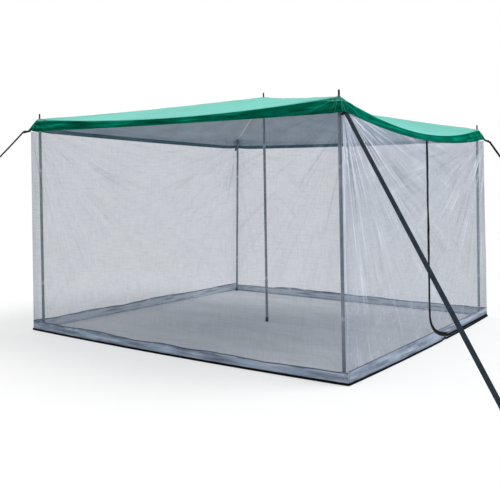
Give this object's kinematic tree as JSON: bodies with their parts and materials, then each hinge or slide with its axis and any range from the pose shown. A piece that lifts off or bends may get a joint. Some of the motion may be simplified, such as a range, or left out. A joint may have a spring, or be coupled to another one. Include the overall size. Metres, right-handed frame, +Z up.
{
  "type": "mosquito net tent",
  "caption": "Square camp shelter with net walls, a sagging waterproof roof on poles, a sewn-in groundsheet and a zipped net door.",
  "frame": {"origin": "underside of the groundsheet, midway between the feet of the corner poles", "axes": "+Z up, -Y out of the front wall, +X out of the door wall"},
  "size_m": [4.6911, 4.4438, 2.1715],
  "materials": {
    "canopy_cloth": "coated waterproof cloth",
    "net": "fine mosquito mesh",
    "mudwall_cloth": "plain coated cloth",
    "groundsheet_cloth": "woven sheet",
    "black_binding": "woven tape",
    "webbing": "woven webbing",
    "zip_tape_cloth": "woven tape",
    "zip_metal": "dark coated metal",
    "pole_steel": "smooth grey coating",
    "black_plastic": "moulded",
    "eyelet_metal": "plain steel",
    "seam_tape": "smooth tape"
  },
  "bodies": {
    "root": {"canopy": "canopy_cloth", "net_front": "net", "net_left": "net", "net_back": "net", "net_door_side": "net", "net_door_upper": "net", "mudwall_front": "mudwall_cloth", "mudwall_left": "mudwall_cloth", "mudwall_back": "mudwall_cloth", "mudwall_door_side": "mudwall_cloth", "groundsheet": "groundsheet_cloth", "hem_binding": "black_binding", "zip_tape_wall": "zip_tape_cloth", "zip_tape_top": "zip_tape_cloth", "eyelet_front_left": "eyelet_metal", "foot_cap_front_left": "black_plastic", "pole_spike_front_left": "black_plastic", "pole_lower_front_left": "pole_steel", "pole_middle_front_left": "pole_steel", "pole_upper_front_left": "pole_steel", "eyelet_front_right": "eyelet_metal", "foot_cap_front_right": "black_plastic", "pole_spike_front_right": "black_plastic", "pole_lower_front_right": "pole_steel", "pole_middle_front_right": "pole_steel", "pole_upper_front_right": "pole_steel", "eyelet_back_right": "eyelet_metal", "foot_cap_back_right": "black_plastic", "pole_spike_back_right": "black_plastic", "pole_lower_back_right": "pole_steel", "pole_middle_back_right": "pole_steel", "pole_upper_back_right": "pole_steel", "eyelet_back_left": "eyelet_metal", "foot_cap_back_left": "black_plastic", "pole_spike_back_left": "black_plastic", "pole_lower_back_left": "pole_steel", "pole_middle_back_left": "pole_steel", "pole_upper_back_left": "pole_steel", "eyelet_centre": "eyelet_metal", "foot_cap_centre": "black_plastic", "pole_spike_centre": "black_plastic", "pole_lower_centre": "pole_steel", "pole_middle_centre": "pole_steel", "pole_upper_centre": "pole_steel", "ridge_tape_front_left": "seam_tape", "corner_tab_front_left": "webbing", "ridge_tape_front_right": "seam_tape", "corner_tab_front_right": "webbing", "ridge_tape_back_right": "seam_tape", "corner_tab_back_right": "webbing", "ridge_tape_back_left": "seam_tape", "corner_tab_back_left": "webbing", "guy_strap_front_left": "webbing", "guy_strap_front_right": "webbing", "guy_strap_back_right": "webbing"},
    "door_flap": {"net_door_flap": "net", "mudwall_door_flap": "mudwall_cloth", "zip_tape_flap": "zip_tape_cloth"},
    "zip_slider": {"zip_slider": "zip_metal"},
    "zip_pull": {"zip_pull": "zip_metal"}
  },
  "joints": [
    {"name": "door_flap_fold", "type": "hinge", "parent": "root", "child": "door_flap", "pos_m": [1.48929, -0.062, 1.6008], "axis": [-0.0325, -0.7179, 0.6954], "range_deg": [0, 165]},
    {"name": "zip_slider_run", "type": "slide", "parent": "root", "child": "zip_slider", "axis": [0.0466, 0, -0.9989], "range_m": [0, 1.3973]},
    {"name": "zip_pull_swing", "type": "hinge", "parent": "zip_slider", "child": "zip_pull", "pos_m": [1.49182, -0.062, 1.65713], "axis": [0, -1, 0], "range_deg": [0, 150]}
  ]
}
